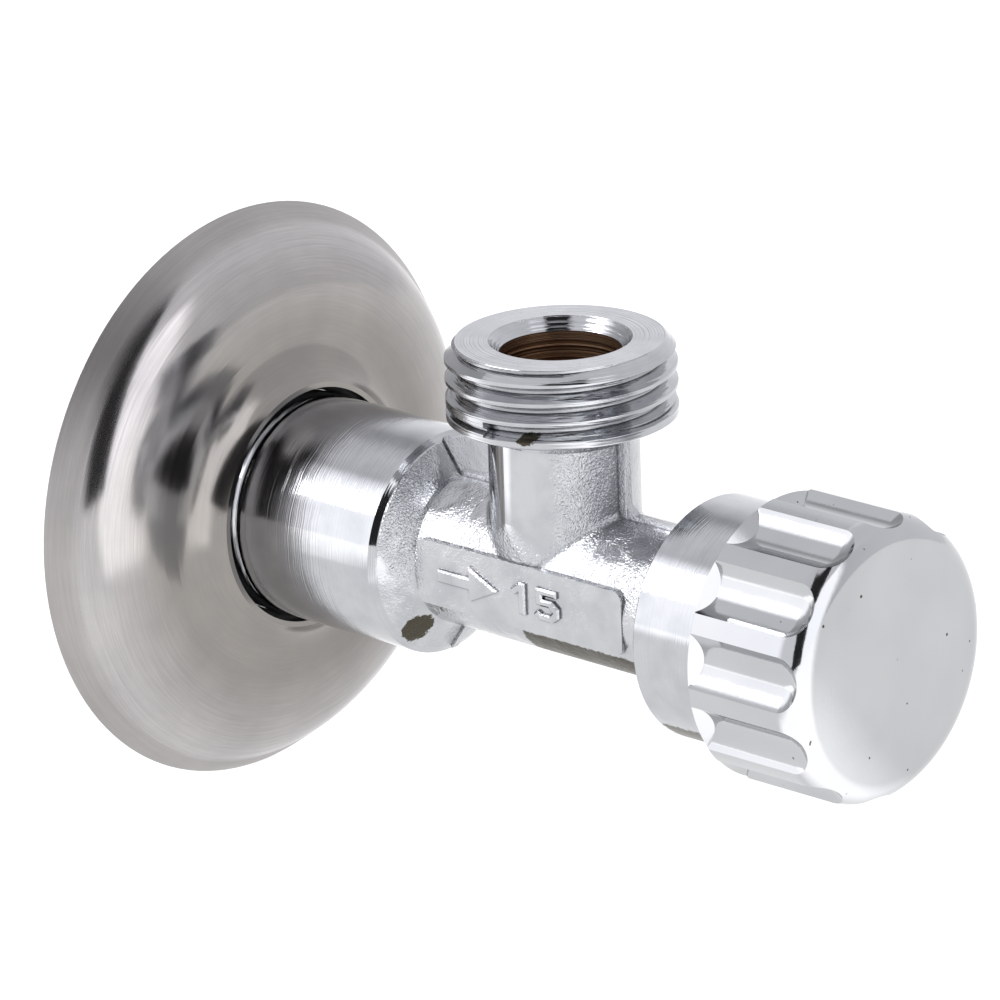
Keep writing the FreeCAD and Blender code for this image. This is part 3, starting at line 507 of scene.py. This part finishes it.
def pale_floor():
    low = cad_box[0][2]
    mesh = bpy.data.meshes.new("floor")
    corners = [(x * FLOOR_SIDE, y * FLOOR_SIDE, low) for x, y in ((-1, -1), (1, -1), (1, 1), (-1, 1))]
    mesh.from_pydata(corners, [], [(0, 1, 2, 3)])
    floor = bpy.data.objects.new("floor", mesh)
    bpy.context.scene.collection.objects.link(floor)
    g = Graph("pale_floor")
    tone = g.spread(g.noise(g.place, 0.002, 2.0), 0.3, 0.7, 0.24, 0.26)
    material = g.finish(g.combine(tone, tone, tone), 0.9, 0.0)
    g.feed(g.shader.inputs["Specular IOR Level"], 0.0)
    g.feed(g.shader.inputs["Emission Color"], (1, 1, 1, 1))
    around = g.math("MULTIPLY", g.math("ARCTAN2", g.x, g.math("MULTIPLY", g.y, -1.0)), 180 / math.pi)
    pool = g.math("ADD", *[g.between(around, *sector, 10.0) for sector in PAINTED_POOLS])
    pool = g.math("MULTIPLY", pool, g.above(g.radius(g.x, g.y), PAINTED_POOL_START, 12.0))
    # the floor glows evenly, and brighter in painted pools of light within the sectors beyond the start
    # distance
    g.feed(g.shader.inputs["Emission Strength"], g.scale(pool, FLOOR_GLOW, PAINTED_POOL_GLOW))
    mesh.materials.append(material)


def ramp(g, value, low, high, stops):
    """A grey level that follows stops of (value, level) between two ends."""
    node = g.tree.nodes.new("ShaderNodeFloatCurve")
    curve = node.mapping.curves[0]
    top = max(level for _, level in stops)
    points = [((at - low) / (high - low), level / top) for at, level in stops]
    curve.points[0].location = points[0]
    curve.points[1].location = points[-1]
    for point in points[1:-1]:
        curve.points.new(*point)
    for point in curve.points:
        point.handle_type = "VECTOR"
    node.mapping.update()
    g.feed(node.inputs["Value"], g.spread(value, low, high))
    return g.math("MULTIPLY", node.outputs[0], top)


def studio_sky():
    """Two tall white boxes with a dark gap between them, grey walls behind and a grey ceiling."""
    world = bpy.data.worlds.new("studio")
    bpy.context.scene.world = world
    world.use_nodes = True
    g = Nodes(world.node_tree)
    g.coordinates("Generated", 1.0)
    # degrees round from -Y towards +X, and degrees above the horizon
    azimuth = g.math("MULTIPLY", g.math("ARCTAN2", g.x, g.math("MULTIPLY", g.y, -1.0)), 180 / math.pi)
    height = g.math("MULTIPLY", g.math("ARCSINE", g.z), 180 / math.pi)
    walls = ramp(g, azimuth, -180, 180, WALLS)
    ceiling = ramp(g, height, -90, 90, CEILING)
    level = g.scale(g.above(height, BOX_TOP, 3.0), walls, ceiling)
    aside = math.radians(GAP_FACES)
    across = g.math("ADD", g.math("MULTIPLY", g.x, math.cos(aside)), g.math("MULTIPLY", g.y, math.sin(aside)))
    gap = g.below(g.math("ABSOLUTE", across), GAP_HALF, 0.03)
    gap = g.math("MULTIPLY", gap, g.below(height, GAP_TOP, 4.0))
    gap = g.math("MULTIPLY", gap, g.between(azimuth, GAP_FACES - 90, GAP_FACES + 90))
    level = g.scale(gap, level, GAP_LEVEL)
    back = g.tree.nodes.new("ShaderNodeBackground")
    g.feed(back.inputs[0], g.combine(level, level, g.math("MULTIPLY", level, 1.03)))
    out = g.tree.nodes.new("ShaderNodeOutputWorld")
    g.join(back.outputs[0], out.inputs[0])


def soft_box(name, where, aim, wide, tall, watts):
    light = bpy.data.lights.new(name, "AREA")
    light.shape = "RECTANGLE"
    light.size = wide
    light.size_y = tall
    light.energy = watts
    lamp = bpy.data.objects.new(name, light)
    lamp.location = where
    lamp.rotation_euler = (Vector(aim) - Vector(where)).to_track_quat("-Z", "Y").to_euler()
    bpy.context.scene.collection.objects.link(lamp)


def camera_at(azimuth, elevation, roll, distance, target, lens):
    """A camera that looks at the target from an azimuth (0 looks along +Y) and an elevation, in degrees."""
    a, e, r = (math.radians(v) for v in (azimuth, elevation, roll))
    back = Vector((math.sin(a) * math.cos(e), -math.cos(a) * math.cos(e), math.sin(e)))
    right = Vector((math.cos(a), math.sin(a), 0))
    up = back.cross(right)
    side = right * math.cos(r) + up * math.sin(r)
    top = up * math.cos(r) - right * math.sin(r)
    data = bpy.data.cameras.new("camera")
    data.lens = lens
    data.sensor_width = SENSOR_WIDTH
    data.clip_start = 0.01
    data.clip_end = 20.0
    camera = bpy.data.objects.new("camera", data)
    where = Vector(target) + back * distance
    camera.matrix_world = Matrix((side, top, back)).transposed().to_4x4()
    camera.matrix_world.translation = where
    bpy.context.scene.collection.objects.link(camera)
    bpy.context.scene.camera = camera


pale_floor()
studio_sky()
soft_box("key", where=(-0.5, -0.9, 0.75), aim=(0.03, 0, 0), wide=0.7, tall=0.5, watts=9.0)
camera_at(
    azimuth=43.4,
    elevation=19.23,
    roll=-2.17,
    distance=0.7818,
    target=(0.03176, 0.0, 0.00541),
    lens=310.7,
)
bpy.context.scene.view_settings.view_transform = "Standard"
